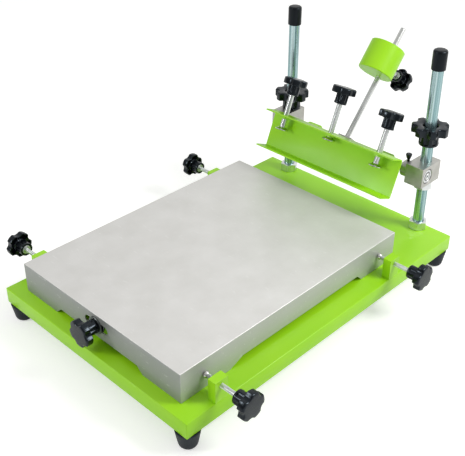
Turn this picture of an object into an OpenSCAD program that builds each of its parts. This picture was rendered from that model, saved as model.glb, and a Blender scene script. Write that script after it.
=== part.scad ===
// Tabletop screen printing press, in millimetres.
// The origin is the centre of the platen's top face, +X is to the right as seen from the front knob,
// +Y runs back to the posts and +Z is up.

/* [Platen] */
// Width of the platen, left to right
platen_w = 300; // [260:1:330]
// Length of the platen, front to back
platen_l = 400; // [320:1:480]
// Height of the platen from its top face to the foot of its skirt
platen_h = 42.5; // [38:0.5:60]
// Sheet thickness of the platen
platen_sheet = 2; // [1.5:0.1:3]
// Running gap between the platen's skirt and the base
platen_gap = 0.3; // [0.2:0.1:0.6]
// Height of the cut-outs along the foot of the skirt
notch_h = 9; // [5:0.5:14]
// Run of the slanted ends of the cut-outs
notch_run = 10; // [4:0.5:16]
// Longer run at the front ends of the side cut-outs
notch_long_run = 21; // [12:0.5:30]
// Distance from the side cut-outs to the platen's front corners
notch_end_front = 78; // [50:1:90]
// Distance from the side cut-outs to the platen's rear corners
notch_end_rear = 71; // [50:1:90]
// Distance from the front and rear cut-outs to the platen's left and right corners
notch_end_side = 66; // [45:1:85]
// Width of the slot in the front skirt that lets the platen shift sideways
front_slot_w = 44; // [34:1:60]
// Height of that slot
front_slot_h = 12; // [9:0.5:16]

/* [Base] */
// Base that shows on each side of the platen
side_margin = 26.3; // [22:0.1:32]
// Base that shows in front of the platen
front_margin = 17.5; // [12:0.5:30]
// Base behind the platen, which carries the posts
rear_margin = 106.8; // [95:0.1:140]
// Height of the base's folded edges
base_edge_h = 23; // [18:0.5:32]
// Sheet thickness of the base
base_sheet = 2.5; // [2:0.1:4]
// Width of the inward lip round the underside of the base
base_lip = 32; // [30:1:45]
// Distance that the platen stands to the left of the base's centre line
platen_offset = 1.4; // [0:0.1:4]

/* [Feet] */
// Diameter of a foot at its top
foot_d = 31; // [24:0.5:33]
// Diameter of a foot at the floor
foot_tip_d = 20.5; // [16:0.5:23]
// Height of a foot
foot_h = 25; // [15:0.5:35]
// Distance of each foot's centre from the base's edges
foot_inset = 13.5; // [12:0.5:18]
// Diameter of the foot's threaded stud
foot_stud_d = 6; // [5:0.5:8]

/* [Side adjusters] */
// Thickness of a side bracket, left to right
bracket_t = 12; // [10:0.5:15]
// Width of a side bracket, front to back
bracket_w = 20; // [16:0.5:26]
// Height of a side bracket above the base
bracket_h = 30; // [28:0.5:36]
// Height of the adjusting screws above the base
adjuster_h = 21.8; // [18:0.1:23]
// Distance of the side screws from the platen's front and rear ends
adjuster_inset = 36.5; // [30:0.5:44]
// Diameter of the adjusting screws
adjuster_d = 6; // [5:0.5:8]
// Diameter of the round tips that press on the skirt
tip_d = 9; // [8.5:0.1:11]
// Length of a round tip
tip_l = 5; // [4:0.5:6]
// Distance from the platen's skirt to the side knobs
side_reach = 52; // [46:0.5:60]

/* [Front adjuster] */
// Height of the front screw above the base
front_h = 26.8; // [24:0.1:30]
// Diameter of the washers on the front screw
front_washer_d = 24; // [20:0.5:28]
// Thickness of the washers on the front screw
front_washer_t = 2; // [1.5:0.1:3]
// Thickness of the threaded front bracket, front to back
front_bracket_t = 12; // [10:0.5:16]
// Free distance between the inner washer and the front bracket
front_free = 9; // [7:0.5:12]

/* [Small knobs] */
// Diameter over the lobes of a small star knob
knob_d = 36; // [32:0.5:40]
// Thickness of its head
knob_t = 10; // [8:0.5:12]
// Diameter of its hub
knob_hub_d = 18.5; // [16:0.5:20]
// Length of its hub
knob_hub_l = 15; // [12:0.5:18]

/* [Posts] */
// Diameter of the threaded posts and of their nuts' bores
post_d = 16; // [14:0.5:18]
// Distance of the posts' centres from the line of the platen's left and right sides
post_inboard = 22.9; // [15:0.1:30]
// Distance of the posts from the rear edge of the base
post_inset = 13.4; // [12:0.1:20]
// Height of the posts' tops above the platen's top
post_top = 231.5; // [200:0.5:280]
// Length of post below the base's top sheet
post_below = 19; // [17:0.5:19]
// Width across the flats of the post nuts
post_nut_af = 24; // [22:0.5:25]
// Height of the post nuts
post_nut_h = 13; // [10:0.5:14]
// Diameter of a post cap
cap_d = 20; // [19:0.5:24]
// Height of a post cap
cap_h = 28; // [20:0.5:35]

/* [Clamp blocks] */
// Height of the pivot axis above the platen's top
pivot_h = 54; // [50:0.5:75]
// Distance of the pivot axis in front of the posts
pivot_ahead = 15; // [14.8:0.1:18]
// Width of a clamp block, left to right
block_w = 29; // [29:0.5:34]
// Height of a clamp block
block_h = 30.4; // [27:0.1:36]
// Depth of a block in front of the pivot axis
block_nose = 13.5; // [13:0.1:18]
// Depth of a block behind the posts' centres
block_tail = 15.5; // [12:0.1:20]
// Outer diameter of the pivot bearings
bearing_d = 22; // [20:0.5:22]
// Width of the pivot bearings
bearing_w = 7; // [6:0.1:7]
// Diameter of the pivot pins that run in the bearings
pivot_pin_d = 8; // [7:0.5:9]
// Diameter of the lock collar on the right-hand block
collar_d = 24; // [22:0.5:26]
// Width of the lock collar
collar_w = 10; // [8:0.5:10.5]

/* [Height knobs] */
// Diameter over the lobes of a height knob
hand_nut_d = 52.5; // [50:0.5:60]
// Thickness of its head
hand_nut_t = 12.5; // [10:0.5:18]
// Diameter of its hub
hand_nut_hub_d = 28; // [27:0.5:34]
// Length of its hub
hand_nut_hub_l = 17.5; // [14:0.5:22]
// Height of the right-hand knob above its block
right_nut_lift = 25.7; // [15:0.1:60]

/* [Clamp channel] */
// Tilt of the channel above level
arm_tilt = 22.7; // [0:0.1:30]
// Distance that each end of the channel stops short of a post's centre
channel_end = 9.7; // [6:0.1:16]
// Height of the channel's web
channel_h = 58; // [54:0.5:70]
// Depth of the channel's flanges
channel_depth = 24; // [24:0.5:32]
// Sheet thickness of the channel
channel_sheet = 2; // [1.5:0.1:3]
// Distance of the web's front face ahead of the pivot axis
channel_ahead = 41; // [38:0.5:50]
// Height of the channel's top above the pivot axis
channel_rise = 14.8; // [12:0.1:20]
// Distance between the clamp screws
screw_spacing = 86.8; // [70:0.1:92]
// Distance of the clamp screws ahead of the web's front face
screw_ahead = 13; // [11:0.1:13.5]
// Diameter of the clamp screws
clamp_d = 8; // [6:0.5:9]
// Width across the flats of the welded nuts
weld_nut_af = 13; // [12:0.5:15]
// Height of the welded nuts
weld_nut_h = 4; // [3:0.1:4.2]
// Diameter of the clamp pads
pad_d = 20; // [17:0.5:21]
// Height of a clamp pad
pad_h = 4.2; // [3.5:0.1:4.4]
// Distance from a pad's underside to its knob
pad_to_knob = 54.6; // [50:0.1:70]
// Depth of the left pad's underside below the channel's top
left_pad_drop = 23.2; // [12:0.1:50]
// Depth of the middle pad's underside below the channel's top
middle_pad_drop = 10.7; // [10.7:0.1:50]
// Depth of the right pad's underside below the channel's top
right_pad_drop = 20.3; // [12:0.1:50]
// Width of each hinge arm
hinge_arm_w = 20; // [16:0.5:34]
// Distance of the hinge arms from the arm's centre
hinge_arm_offset = 68; // [50:0.5:80]
// Diameter of the shaft between the blocks
shaft_d = 12; // [11:0.5:13]

/* [Counterweight] */
// Lean of the counterweight rod behind upright
rod_lean = 40.9; // [36:0.1:46]
// Diameter of the counterweight rod
rod_d = 8; // [6:0.5:9]
// Distance of the rod ahead of the shaft's axis
rod_ahead = 10.6; // [10.6:0.1:14]
// Distance from the shaft's axis to the rod's tip
rod_top = 191; // [165:1:240]
// Distance from the shaft's axis to the weight's underside
weight_start = 109; // [90:1:120]
// Diameter of the counterweight
weight_d = 54; // [48:0.5:60]
// Length of the counterweight
weight_l = 45; // [35:0.5:55]
// Distance of the weight's axis from its bore
weight_offset = 14; // [10:0.1:15]
// Distance from the rod's axis to the counterweight's knob
weight_knob_out = 43; // [36:0.5:50]

/* [Hidden] */
$fn = 48;

// Clearances: running in a bearing or thread, and loose round a bolt
run_clear = 0.05;
loose_clear = 0.5;
// Air between two pieces that pass each other without touching
air_gap = 0.3;
// Overrun of the cuts
cut = 1;

// Base and its levels
base_w = platen_w + 2*side_margin;
base_l = platen_l + front_margin + rear_margin;
base_x = platen_offset;
base_front_y = -platen_l/2 - front_margin;
base_rear_y = platen_l/2 + rear_margin;
base_top_z = -platen_h - platen_gap;
base_under_z = base_top_z - base_sheet;
base_foot_z = base_top_z - base_edge_h;
base_mid_y = (base_front_y + base_rear_y)/2;
floor_z = base_foot_z - foot_h;
foot_stud_l = 22;
foot_nut_h = 5;
foot_nut_af = 10;
foot_fillet = 3;

// Side adjusters
adjuster_z = base_top_z + adjuster_h;
adjuster_y = platen_l/2 - adjuster_inset;
bracket_out_x = base_w/2;
side_ends = [[-1, -1], [1, -1], [-1, 1], [1, 1]];
knob_bore_depth = 12;
tip_seat = 2;
// Share of a tip's diameter at its nose
tip_nose_share = 0.7;

// Front adjuster
front_skirt_y = -platen_l/2;
front_z = base_top_z + front_h;
front_bracket_y = front_skirt_y + platen_sheet + front_washer_t + front_free;
front_bracket_w = 26;
front_bracket_h = 34;
front_tail = 8;

// Small knobs
knob_lobes = 5;
knob_flute_d = 15;
knob_flute_bite = 3.2;
knob_chamfer = 1.2;
// Share of the way from one lobe to the next at which a flute lies
flute_turn_share = 0.5;
// Turns in degrees at which the knobs stand, front left, front right, rear left and rear right,
// and from left to right on the clamp
side_knob_turns = [34, 24, 12, 41];
clamp_knob_turns = [23, 33, 65];
front_knob_turn = 56;
weight_knob_turn = 39;

// Posts
post_spacing = platen_w - 2*post_inboard;
post_y = base_rear_y - post_inset;
post_left_x = base_x - post_spacing/2;
post_right_x = base_x + post_spacing/2;
post_xs = [post_left_x, post_right_x];
post_end_z = base_top_z - post_below;
post_boss_d = 2*(post_inset - base_sheet) - air_gap;
post_boss_h = 14;
cap_wall_top = 2.5;
cap_skirt = 21;
cap_chamfer = 2;

// Clamp blocks
pivot_y = post_y - pivot_ahead;
block_l = block_nose + pivot_ahead + block_tail;
block_edge = 0.8;
shoulder_d = pivot_pin_d + 2*loose_clear;
pin_socket_af = 4;
pin_socket_depth = 4;
pin_thread_l = 12;
lock_stem_d = 4;
lock_head_d = 8;
lock_head_h = 7;
lock_stem_show = 4;
// Share of the stem's diameter at the foot of its head
lock_neck_share = 1.25;
shaft_l = post_spacing - block_w - 2*air_gap;

// Height knobs
hand_nut_lobes = 7;
hand_nut_flute_d = 15;
hand_nut_flute_bite = 5.8;
hand_nut_chamfer = 1.5;
hand_nut_turns = [49, 4];
insert_d = 24;
insert_h = 13;
hand_nut_well_d = 21;

// Clamp channel, in its own tilted frame: x across, y back from the web's front face, z up from its top
hinge_boss_r = 11;
hinge_top_drop = 2.5;
hinge_flat = 12;
hinge_root_drop = 30;
pad_rim_h = 1.6;
pad_neck_d = 11;
screw_seat = 2.5;
pad_drops = [left_pad_drop, middle_pad_drop, right_pad_drop];

// Counterweight, in the rod's own frame: z along the rod, y back and down, from the shaft's axis
block_below = 12;
rod_show = 1.5;
block_above = 7.5;
rod_block_w = 24;
rod_block_back = 10;
rod_block_front = 7.4;
jam_nut_h = 4.5;
jam_nut_af = 13;
rod_start = block_below + jam_nut_h + rod_show;
weight_edge = 1;
weight_screw_z = weight_start + weight_l/2;

lime = "#8fd02f";
steel = "#d6d6d3";
zinc = "#a9c6c6";
black = "#26272a";
bare_aluminium = "#b9b9b4";

// A hexagonal nut standing on z = 0, with a plain bore for its thread
module hex_nut(across_flats, height, bore) {
  difference() {
    cylinder(h = height, d = across_flats/cos(30), $fn = 6);
    translate([0, 0, -cut]) cylinder(h = height + 2*cut, d = bore);
  }
}

// A star knob whose hub stands on z = 0; the flutes between its lobes are scooped by cylinders
module star_knob(head_d, head_t, hub_d, hub_l, lobes, flute_d, flute_bite, chamfer) {
  difference() {
    union() {
      cylinder(h = hub_l, d = hub_d);
      translate([0, 0, hub_l]) cylinder(h = head_t - chamfer, d = head_d);
      translate([0, 0, hub_l + head_t - chamfer])
        cylinder(h = chamfer, d1 = head_d, d2 = head_d - 2*chamfer);
    }
    for (i = [0:lobes - 1])
      rotate([0, 0, (i + flute_turn_share)*360/lobes])
        translate([head_d/2 + flute_d/2 - flute_bite, 0, hub_l])
          cylinder(h = head_t + cut, d = flute_d);
  }
}

// A small star knob with a blind bore for its screw
module small_knob(turn, screw_d) {
  rotate([0, 0, turn]) difference() {
    star_knob(knob_d, knob_t, knob_hub_d, knob_hub_l, knob_lobes, knob_flute_d, knob_flute_bite, knob_chamfer);
    translate([0, 0, -cut]) cylinder(h = knob_bore_depth + cut, d = screw_d + 2*run_clear);
  }
}

// Places its children at the pivot axis, turned into the channel's tilted frame
module in_arm() {
  translate([base_x, pivot_y, pivot_h])
    rotate([-arm_tilt, 0, 0])
      translate([0, -channel_ahead, channel_rise])
        children();
}

// Places its children at the pivot axis, with z along the counterweight rod
module in_rod() {
  translate([base_x, pivot_y, pivot_h]) rotate([-rod_lean, 0, 0]) children();
}

// The same, with z along the set screw and the knob's side up
module in_set_screw() {
  in_rod() translate([0, -rod_ahead, weight_screw_z]) rotate([-90, 0, 0]) children();
}

// A side adjuster's frame: z points outwards along the screw, from the platen's skirt
module at_side(side, end) {
  translate([side*platen_w/2, end*adjuster_y, adjuster_z]) rotate([0, side*90, 0]) children();
}

// Distance from the skirt to a side bracket's outer face, which differs left and right
function bracket_out(side) = bracket_out_x + side*base_x - platen_w/2;

module base_plate() {
  lip_w = base_w - 2*base_lip;
  lip_l = base_l - 2*base_lip;
  inner_w = base_w - 2*base_sheet;
  inner_l = base_l - 2*base_sheet;
  color(lime) difference() {
    translate([base_x - base_w/2, base_front_y, base_foot_z]) cube([base_w, base_l, base_edge_h]);
    translate([base_x - inner_w/2, base_mid_y - inner_l/2, base_foot_z + base_sheet])
      cube([inner_w, inner_l, base_edge_h - 2*base_sheet]);
    translate([base_x - lip_w/2, base_mid_y - lip_l/2, base_foot_z - cut])
      cube([lip_w, lip_l, base_sheet + 2*cut]);
    for (x = post_xs)
      translate([x, post_y, base_under_z - cut])
        cylinder(h = base_sheet + 2*cut, d = post_d + 2*run_clear);
    at_feet() translate([0, 0, -cut])
      cylinder(h = base_sheet + 2*cut, d = foot_stud_d + 2*run_clear);
  }
}

// Places its children at the top centre of each foot
module at_feet() {
  for (sx = [-1, 1], sy = [-1, 1])
    translate([base_x + sx*(base_w/2 - foot_inset), base_mid_y + sy*(base_l/2 - foot_inset), base_foot_z])
      children();
}

module feet() {
  stud_hole_d = foot_stud_d + 2*run_clear;
  color(black) at_feet() rotate([180, 0, 0]) difference() {
    union() {
      cylinder(h = foot_h - foot_fillet, d1 = foot_d, d2 = foot_tip_d + foot_fillet);
      translate([0, 0, foot_h - foot_fillet])
        cylinder(h = foot_fillet, d1 = foot_tip_d + foot_fillet, d2 = foot_tip_d);
    }
    translate([0, 0, -cut]) cylinder(h = foot_h/2 + cut, d = stud_hole_d);
  }
}

module foot_studs() {
  color(zinc) at_feet() translate([0, 0, -foot_h/2])
    cylinder(h = foot_h/2 + base_sheet + foot_nut_h + foot_stud_d/4, d = foot_stud_d);
}

module foot_nuts() {
  color(zinc) at_feet() translate([0, 0, base_sheet])
    hex_nut(foot_nut_af, foot_nut_h, foot_stud_d + 2*run_clear);
}

module side_brackets() {
  color(lime) for (s = side_ends) {
    out_x = base_x + s[0]*bracket_out_x;
    difference() {
      translate([out_x - (s[0] + 1)/2*bracket_t, s[1]*adjuster_y - bracket_w/2, base_top_z])
        cube([bracket_t, bracket_w, bracket_h]);
      at_side(s[0], s[1]) cylinder(h = bracket_out(s[0]) + cut, d = adjuster_d + 2*run_clear);
    }
  }
}

module front_bracket() {
  color(lime) difference() {
    translate([-front_bracket_w/2, front_bracket_y, base_top_z])
      cube([front_bracket_w, front_bracket_t, front_bracket_h]);
    translate([0, front_bracket_y - cut, front_z]) rotate([-90, 0, 0])
      cylinder(h = front_bracket_t + 2*cut, d = adjuster_d + 2*run_clear);
  }
}

// One cut-out along the foot of the skirt, from start to end, as a prism that runs along y
module skirt_notch(start, end, start_run, end_run, through) {
  low = -platen_h - cut;
  high = -platen_h + notch_h;
  below_share = cut/notch_h;
  rotate([90, 0, 0]) linear_extrude(height = through, center = true)
    polygon([[start - start_run*below_share, low], [end + end_run*below_share, low],
             [end - end_run, high], [start + start_run, high]]);
}

module platen() {
  color(steel) difference() {
    translate([-platen_w/2, -platen_l/2, -platen_h]) cube([platen_w, platen_l, platen_h]);
    translate([-platen_w/2 + platen_sheet, -platen_l/2 + platen_sheet, -platen_h - cut])
      cube([platen_w - 2*platen_sheet, platen_l - 2*platen_sheet, platen_h - platen_sheet + cut]);
    skirt_notch(-platen_w/2 + notch_end_side, platen_w/2 - notch_end_side,
                notch_run, notch_run, platen_l + 2*cut);
    rotate([0, 0, 90])
      skirt_notch(-platen_l/2 + notch_end_front, platen_l/2 - notch_end_rear,
                  notch_long_run, notch_run, platen_w + 2*cut);
    translate([0, front_skirt_y - cut, front_z]) rotate([-90, 0, 0])
      linear_extrude(height = platen_sheet + 2*cut) slot_shape(front_slot_w, front_slot_h);
  }
}

// A slot with round ends
module slot_shape(length, height) {
  square([length - height, height], center = true);
  for (s = [-1, 1]) translate([s*(length - height)/2, 0]) circle(d = height);
}

module post(x) {
  color(zinc) translate([x, post_y, post_end_z]) cylinder(h = post_top - post_end_z, d = post_d);
}

module post_cap(x) {
  color(black) translate([x, post_y, post_top + cap_wall_top - cap_h]) difference() {
    union() {
      cylinder(h = cap_h - cap_chamfer, d = cap_d);
      translate([0, 0, cap_h - cap_chamfer]) cylinder(h = cap_chamfer, d1 = cap_d, d2 = cap_d - 2*cap_chamfer);
    }
    translate([0, 0, -cut]) cylinder(h = cap_h - cap_wall_top + cut, d = post_d + 2*run_clear);
  }
}

module post_base_nuts() {
  color(zinc) for (x = post_xs) translate([x, post_y, base_top_z])
    hex_nut(post_nut_af, post_nut_h, post_d + 2*run_clear);
}

// Round threaded bosses welded under the base's top sheet
module post_bosses() {
  color(lime) for (x = post_xs) translate([x, post_y, base_under_z - post_boss_h]) difference() {
    cylinder(h = post_boss_h, d = post_boss_d);
    translate([0, 0, -cut]) cylinder(h = post_boss_h + 2*cut, d = post_d + 2*run_clear);
  }
}

module side_tips() {
  color(steel) for (s = side_ends) at_side(s[0], s[1]) translate([0, 0, air_gap]) difference() {
    union() {
      cylinder(h = tip_l/2, d1 = tip_d*tip_nose_share, d2 = tip_d);
      translate([0, 0, tip_l/2]) cylinder(h = tip_l/2, d = tip_d);
    }
    translate([0, 0, tip_l - tip_seat]) cylinder(h = tip_seat + cut, d = adjuster_d + 2*run_clear);
  }
}

module side_screw(side, end) {
  start = air_gap + tip_l - tip_seat;
  color(zinc) at_side(side, end) translate([0, 0, start])
    cylinder(h = side_reach + knob_bore_depth - start, d = adjuster_d);
}

module side_knob(side, end) {
  turn = side_knob_turns[(side + 1)/2 + (end + 1)];
  color(black) at_side(side, end) translate([0, 0, side_reach]) small_knob(turn, adjuster_d);
}

// The front adjuster's frame: z points forwards from the skirt's outer face
module at_front() {
  translate([0, front_skirt_y, front_z]) rotate([90, 0, 0]) children();
}

module front_washers() {
  color(zinc) for (z = [run_clear, -platen_sheet - front_washer_t - run_clear])
    at_front() translate([0, 0, z]) difference() {
      cylinder(h = front_washer_t, d = front_washer_d);
      translate([0, 0, -cut]) cylinder(h = front_washer_t + 2*cut, d = adjuster_d + 2*run_clear);
    }
}

module front_screw() {
  inner = platen_sheet + front_washer_t + front_free + front_bracket_t + front_tail;
  color(zinc) at_front() translate([0, 0, -inner])
    cylinder(h = inner + 2*run_clear + front_washer_t + knob_bore_depth, d = adjuster_d);
}

module front_knob() {
  color(black) at_front() translate([0, 0, 2*run_clear + front_washer_t])
    small_knob(front_knob_turn, adjuster_d);
}

// A clamp block; side is 1 on the right and -1 on the left, and its bearing is in the outer face
module clamp_block(side) {
  x = base_x + side*post_spacing/2;
  color(bare_aluminium) difference() {
    translate([x - block_w/2, pivot_y - block_nose, pivot_h - block_h/2]) cube([block_w, block_l, block_h]);
    translate([x, post_y, pivot_h - block_h/2 - cut])
      cylinder(h = block_h + 2*cut, d = post_d + 2*run_clear);
    translate([x, pivot_y, pivot_h]) rotate([0, side*90, 0]) {
      translate([0, 0, -block_w/2 - cut]) cylinder(h = block_w + 2*cut, d = shoulder_d);
      translate([0, 0, block_w/2 - bearing_w]) cylinder(h = bearing_w + cut, d = bearing_d + run_clear);
    }
  }
}

module pivot_bearings() {
  color(steel) for (side = [-1, 1])
    translate([base_x + side*(post_spacing/2 + block_w/2 - bearing_w), pivot_y, pivot_h])
      rotate([0, side*90, 0]) difference() {
        cylinder(h = bearing_w, d = bearing_d);
        translate([0, 0, -cut]) cylinder(h = bearing_w + 2*cut, d = pivot_pin_d + 2*run_clear);
      }
}

module lock_collar() {
  color(bare_aluminium) translate([post_right_x - block_w/2, pivot_y, pivot_h]) difference() {
    rotate([0, -90, 0]) cylinder(h = collar_w, d = collar_d);
    translate([cut, 0, 0]) rotate([0, -90, 0]) cylinder(h = collar_w + 2*cut, d = shaft_d + 2*run_clear);
    translate([-collar_w/2, 0, 0]) cylinder(h = collar_d, d = lock_stem_d + 2*run_clear);
  }
}

module lock_screw() {
  stem_top = collar_d/2 + lock_stem_show;
  stem_start = shaft_d/2 + air_gap;
  color(black) translate([post_right_x - block_w/2 - collar_w/2, pivot_y, pivot_h]) {
    translate([0, 0, stem_start]) cylinder(h = stem_top - stem_start, d = lock_stem_d);
    translate([0, 0, stem_top]) cylinder(h = lock_head_h, d1 = lock_stem_d*lock_neck_share, d2 = lock_head_d);
  }
}

module support_nut(x) {
  color(zinc) translate([x, post_y, pivot_h - block_h/2 - post_nut_h])
    hex_nut(post_nut_af, post_nut_h, post_d + 2*run_clear);
}

// A height knob's frame: its hub stands on the block, or above it on the right
module at_height_knob(side) {
  lift = (side + 1)/2*right_nut_lift;
  translate([base_x + side*post_spacing/2, post_y, pivot_h + block_h/2 + lift]) children();
}

module height_insert(side) {
  color(zinc) at_height_knob(side) difference() {
    cylinder(h = insert_h, d = insert_d);
    translate([0, 0, -cut]) cylinder(h = insert_h + 2*cut, d = post_d + 2*run_clear);
  }
}

module height_knob(side) {
  full = hand_nut_hub_l + hand_nut_t;
  color(black) at_height_knob(side) rotate([0, 0, hand_nut_turns[(side + 1)/2]]) difference() {
    star_knob(hand_nut_d, hand_nut_t, hand_nut_hub_d, hand_nut_hub_l, hand_nut_lobes,
              hand_nut_flute_d, hand_nut_flute_bite, hand_nut_chamfer);
    translate([0, 0, -cut]) cylinder(h = insert_h + cut, d = insert_d + 2*run_clear);
    translate([0, 0, insert_h - cut]) cylinder(h = full, d = hand_nut_well_d);
  }
}

module pivot_shaft() {
  color(steel) translate([base_x - shaft_l/2, pivot_y, pivot_h]) rotate([0, 90, 0]) difference() {
    cylinder(h = shaft_l, d = shaft_d);
    for (z = [-cut, shaft_l - pin_thread_l])
      translate([0, 0, z]) cylinder(h = pin_thread_l + cut, d = pivot_pin_d + 2*run_clear);
  }
}

module pivot_pins() {
  pin_l = block_w + air_gap + pin_thread_l;
  color(zinc) for (side = [-1, 1])
    translate([base_x + side*(shaft_l/2 - pin_thread_l), pivot_y, pivot_h]) rotate([0, side*90, 0])
      difference() {
        cylinder(h = pin_l, d = pivot_pin_d);
        translate([0, 0, pin_l - pin_socket_depth])
          cylinder(h = pin_socket_depth + cut, d = pin_socket_af/cos(30), $fn = 6);
      }
}

// A hinge arm from the back of the web to a boss round the shaft, with x as its middle
module hinge_arm(x) {
  web_back = channel_sheet;
  boss_y = channel_ahead;
  boss_z = -channel_rise;
  ring_mid_r = (hinge_boss_r + shaft_d/2)/2;
  color(lime) in_arm() translate([x, 0, 0]) rotate([90, 0, 90]) difference() {
    union() {
      translate([boss_y, boss_z, 0]) cylinder(h = hinge_arm_w, r = hinge_boss_r, center = true);
      linear_extrude(height = hinge_arm_w, center = true)
        polygon([[web_back, -hinge_top_drop], [web_back + hinge_flat, -hinge_top_drop],
                 [boss_y, boss_z + ring_mid_r], [boss_y, boss_z - ring_mid_r],
                 [web_back, -hinge_root_drop]]);
    }
    translate([boss_y, boss_z, -hinge_arm_w/2 - cut])
      cylinder(h = hinge_arm_w + 2*cut, d = shaft_d + 2*run_clear);
  }
}

module clamp_channel() {
  length = post_spacing - 2*channel_end;
  color(lime) in_arm() difference() {
    translate([-length/2, -channel_depth, -channel_h]) cube([length, channel_depth + channel_sheet, channel_h]);
    translate([-length/2 - cut, -channel_depth - cut, channel_sheet - channel_h])
      cube([length + 2*cut, channel_depth + cut, channel_h - 2*channel_sheet]);
    for (i = [-1:1]) translate([i*screw_spacing, -screw_ahead, -channel_sheet - cut])
      cylinder(h = channel_sheet + 2*cut, d = clamp_d + 2*loose_clear);
  }
}

module weld_nuts() {
  color(lime) in_arm() for (i = [-1:1])
    translate([i*screw_spacing, -screw_ahead, -channel_sheet - weld_nut_h])
      hex_nut(weld_nut_af, weld_nut_h, clamp_d + 2*run_clear);
}

// A clamp screw's frame: z is along the screw, from the underside of its pad; place is -1, 0 or 1
module at_clamp(place) {
  in_arm() translate([place*screw_spacing, -screw_ahead, -pad_drops[place + 1]]) children();
}

module clamp_pad(place) {
  color(steel) at_clamp(place) difference() {
    union() {
      cylinder(h = pad_rim_h, d = pad_d);
      translate([0, 0, pad_rim_h]) cylinder(h = pad_h - pad_rim_h, d1 = pad_d, d2 = pad_neck_d);
    }
    translate([0, 0, pad_h - screw_seat]) cylinder(h = screw_seat + cut, d = clamp_d + 2*run_clear);
  }
}

module clamp_screw(place) {
  start = pad_h - screw_seat;
  color(zinc) at_clamp(place) translate([0, 0, start])
    cylinder(h = pad_to_knob - start + knob_bore_depth, d = clamp_d);
}

module clamp_knob(place) {
  color(black) at_clamp(place) translate([0, 0, pad_to_knob])
    small_knob(clamp_knob_turns[place + 1], clamp_d);
}

module rod_block() {
  front = rod_ahead + rod_block_front;
  color(bare_aluminium) in_rod() difference() {
    translate([-rod_block_w/2, -front, -block_below])
      cube([rod_block_w, front + rod_block_back, block_below + block_above]);
    rotate([0, 90, 0]) cylinder(h = rod_block_w + 2*cut, d = shaft_d + 2*run_clear, center = true);
    translate([0, -rod_ahead, -block_below - cut])
      cylinder(h = block_below + block_above + 2*cut, d = rod_d + 2*run_clear);
  }
}

module rod_jam_nut() {
  color(zinc) in_rod() translate([0, -rod_ahead, -block_below - jam_nut_h])
    hex_nut(jam_nut_af, jam_nut_h, rod_d + 2*run_clear);
}

module counterweight_rod() {
  color(steel) in_rod() translate([0, -rod_ahead, -rod_start])
    cylinder(h = rod_top + rod_start, d = rod_d);
}

module counterweight() {
  color(lime) difference() {
    in_rod() translate([0, -rod_ahead, weight_start]) difference() {
      translate([0, -weight_offset, 0]) {
        translate([0, 0, weight_edge]) cylinder(h = weight_l - 2*weight_edge, d = weight_d);
        cylinder(h = weight_edge, d1 = weight_d - 2*weight_edge, d2 = weight_d);
        translate([0, 0, weight_l - weight_edge])
          cylinder(h = weight_edge, d1 = weight_d, d2 = weight_d - 2*weight_edge);
      }
      translate([0, 0, -cut]) cylinder(h = weight_l + 2*cut, d = rod_d + 2*run_clear);
    }
    in_set_screw() cylinder(h = weight_d, d = clamp_d + 2*run_clear);
  }
}

module counterweight_screw() {
  start = rod_d/2 + air_gap;
  color(zinc) in_set_screw() translate([0, 0, start])
    cylinder(h = weight_knob_out - start + knob_bore_depth, d = clamp_d);
}

module counterweight_knob() {
  color(black) in_set_screw() translate([0, 0, weight_knob_out]) small_knob(weight_knob_turn, clamp_d);
}

base_plate();
side_brackets();
front_bracket();
feet();
foot_studs();
foot_nuts();
post(post_left_x);  // post_left
post(post_right_x);  // post_right
post_cap(post_left_x);  // post_cap_left
post_cap(post_right_x);  // post_cap_right
post_base_nuts();
post_bosses();
platen();
side_tips();
side_screw(-1, -1);  // side_screw_front_left
side_screw(1, -1);  // side_screw_front_right
side_screw(-1, 1);  // side_screw_rear_left
side_screw(1, 1);  // side_screw_rear_right
side_knob(-1, -1);  // side_knob_front_left
side_knob(1, -1);  // side_knob_front_right
side_knob(-1, 1);  // side_knob_rear_left
side_knob(1, 1);  // side_knob_rear_right
front_washers();
front_screw();
front_knob();
clamp_block(-1);  // clamp_block_left
clamp_block(1);  // clamp_block_right
pivot_bearings();
lock_collar();
lock_screw();
support_nut(post_left_x);  // support_nut_left
support_nut(post_right_x);  // support_nut_right
height_insert(-1);  // height_insert_left
height_insert(1);  // height_insert_right
height_knob(-1);  // height_knob_left
height_knob(1);  // height_knob_right
pivot_shaft();
pivot_pins();
hinge_arm(-hinge_arm_offset);  // hinge_arm_left
hinge_arm(hinge_arm_offset);  // hinge_arm_right
clamp_channel();
weld_nuts();
rod_block();
rod_jam_nut();
counterweight_rod();
clamp_pad(-1);  // clamp_pad_left
clamp_pad(0);  // clamp_pad_middle
clamp_pad(1);  // clamp_pad_right
clamp_screw(-1);  // clamp_screw_left
clamp_screw(0);  // clamp_screw_middle
clamp_screw(1);  // clamp_screw_right
clamp_knob(-1);  // clamp_knob_left
clamp_knob(0);  // clamp_knob_middle
clamp_knob(1);  // clamp_knob_right
counterweight();
counterweight_screw();
counterweight_knob();
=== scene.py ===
"""Looks of a tabletop screen printing press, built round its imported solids.

Shapes are drawn in millimetres in the frame's own axes and put in place in metres.
"""

import math

import bmesh
import bpy
from mathutils import Matrix, Vector


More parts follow.
